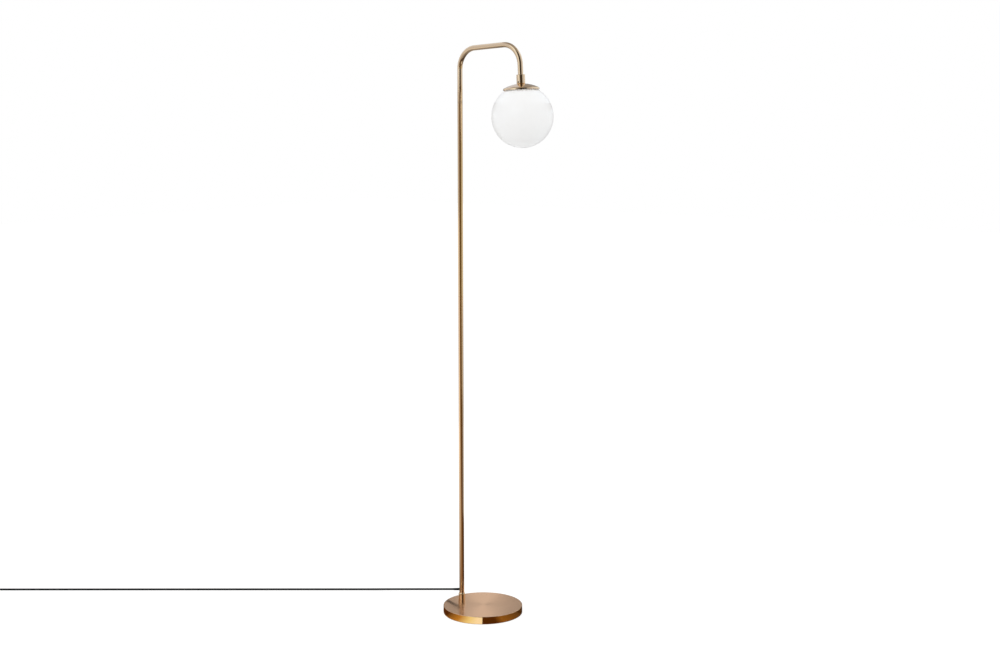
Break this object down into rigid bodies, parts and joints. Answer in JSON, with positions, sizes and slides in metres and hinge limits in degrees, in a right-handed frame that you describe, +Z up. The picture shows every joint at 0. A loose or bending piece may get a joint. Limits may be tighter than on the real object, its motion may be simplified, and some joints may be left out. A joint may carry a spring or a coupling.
{
  "type": "floor lamp",
  "caption": "Arched floor lamp: round weighted base, thin off-centre pole bent into a short arm, an opal glass globe hanging under a shallow cap, black cord with foot switch.",
  "frame": {"origin": "centre of the round base's underside, at floor level", "axes": "+Z up, +X along the arm from the pole towards the globe, +Y to the left seen from behind the pole"},
  "size_m": [1.4534, 0.9573, 1.4455],
  "materials": {
    "warm_brass": "polished, the base's top brushed",
    "cast_iron": "as cast",
    "pad_foam": "matte",
    "zinc_steel": "zinc plated",
    "black_steel": "blackened",
    "opal_glass": "opal white, satin",
    "white_silicone": "matte",
    "holder_plastic": "moulded",
    "porcelain": "glazed ceramic",
    "contact_brass": "plain",
    "nickel": "nickel plated",
    "lamp_black_glass": "glazed insulator",
    "bulb_plastic": "smooth",
    "board": "white solder mask",
    "bulb_frosted": "frosted",
    "cord_rubber": "satin jacket",
    "tie_plastic": "smooth",
    "black_plastic": "fine moulded texture"
  },
  "bodies": {
    "stand": {"arm_tube": "warm_brass", "base_cover": "warm_brass", "base_pad": "pad_foam", "base_weight": "cast_iron", "cap": "warm_brass", "coil_tie": "tie_plastic", "contact_tongue": "contact_brass", "cord_boot": "cord_rubber", "cord_coil": "cord_rubber", "cord_run": "cord_rubber", "cord_tail": "cord_rubber", "coupler_screws": "black_steel", "foot_bolt": "zinc_steel", "foot_bush": "zinc_steel", "foot_collar": "warm_brass", "foot_lock_washer": "zinc_steel", "foot_washer": "zinc_steel", "globe_clips": "zinc_steel", "head_coupler": "warm_brass", "head_nipple": "zinc_steel", "head_nut": "zinc_steel", "holder_cap": "holder_plastic", "holder_core": "porcelain", "holder_shell": "holder_plastic", "inner_lead": "cord_rubber", "joint_bush": "zinc_steel", "joint_stud": "zinc_steel", "lower_tube": "warm_brass", "pin_sleeves": "black_plastic", "plug_body": "black_plastic", "plug_lead": "cord_rubber", "plug_pins": "nickel", "plug_relief": "cord_rubber", "screw_sleeve": "contact_brass", "switch_base": "black_plastic", "switch_block": "black_plastic", "switch_cover": "black_plastic", "switch_leads": "cord_rubber", "switch_pads": "cord_rubber", "switch_relief_in": "cord_rubber", "switch_relief_out": "cord_rubber", "switch_screws": "zinc_steel", "switch_spring": "zinc_steel", "terminal_screws": "contact_brass"},
    "globe": {"glass_globe": "opal_glass", "neck_gasket": "white_silicone"},
    "bulb": {"bulb_cap": "nickel", "bulb_contact": "lamp_black_glass", "bulb_housing": "bulb_plastic", "led_board": "board", "bulb_glass": "bulb_frosted"},
    "foot_button": {"switch_button": "black_plastic"}
  },
  "joints": [
    {"name": "globe_slide", "type": "slide", "parent": "stand", "child": "globe", "axis": [0.0593, 0, -0.9982], "range_m": [0, 0.15]},
    {"name": "bulb_slide", "type": "slide", "parent": "stand", "child": "bulb", "axis": [0.0593, 0, -0.9982], "range_m": [0, 0.03]},
    {"name": "foot_button_press", "type": "slide", "parent": "stand", "child": "foot_button", "axis": [0, 0, -1], "range_m": [0, 0.0025], "stiffness_N_per_m": 900, "springref_m": -0.002, "deforming": ["switch_spring"]}
  ]
}
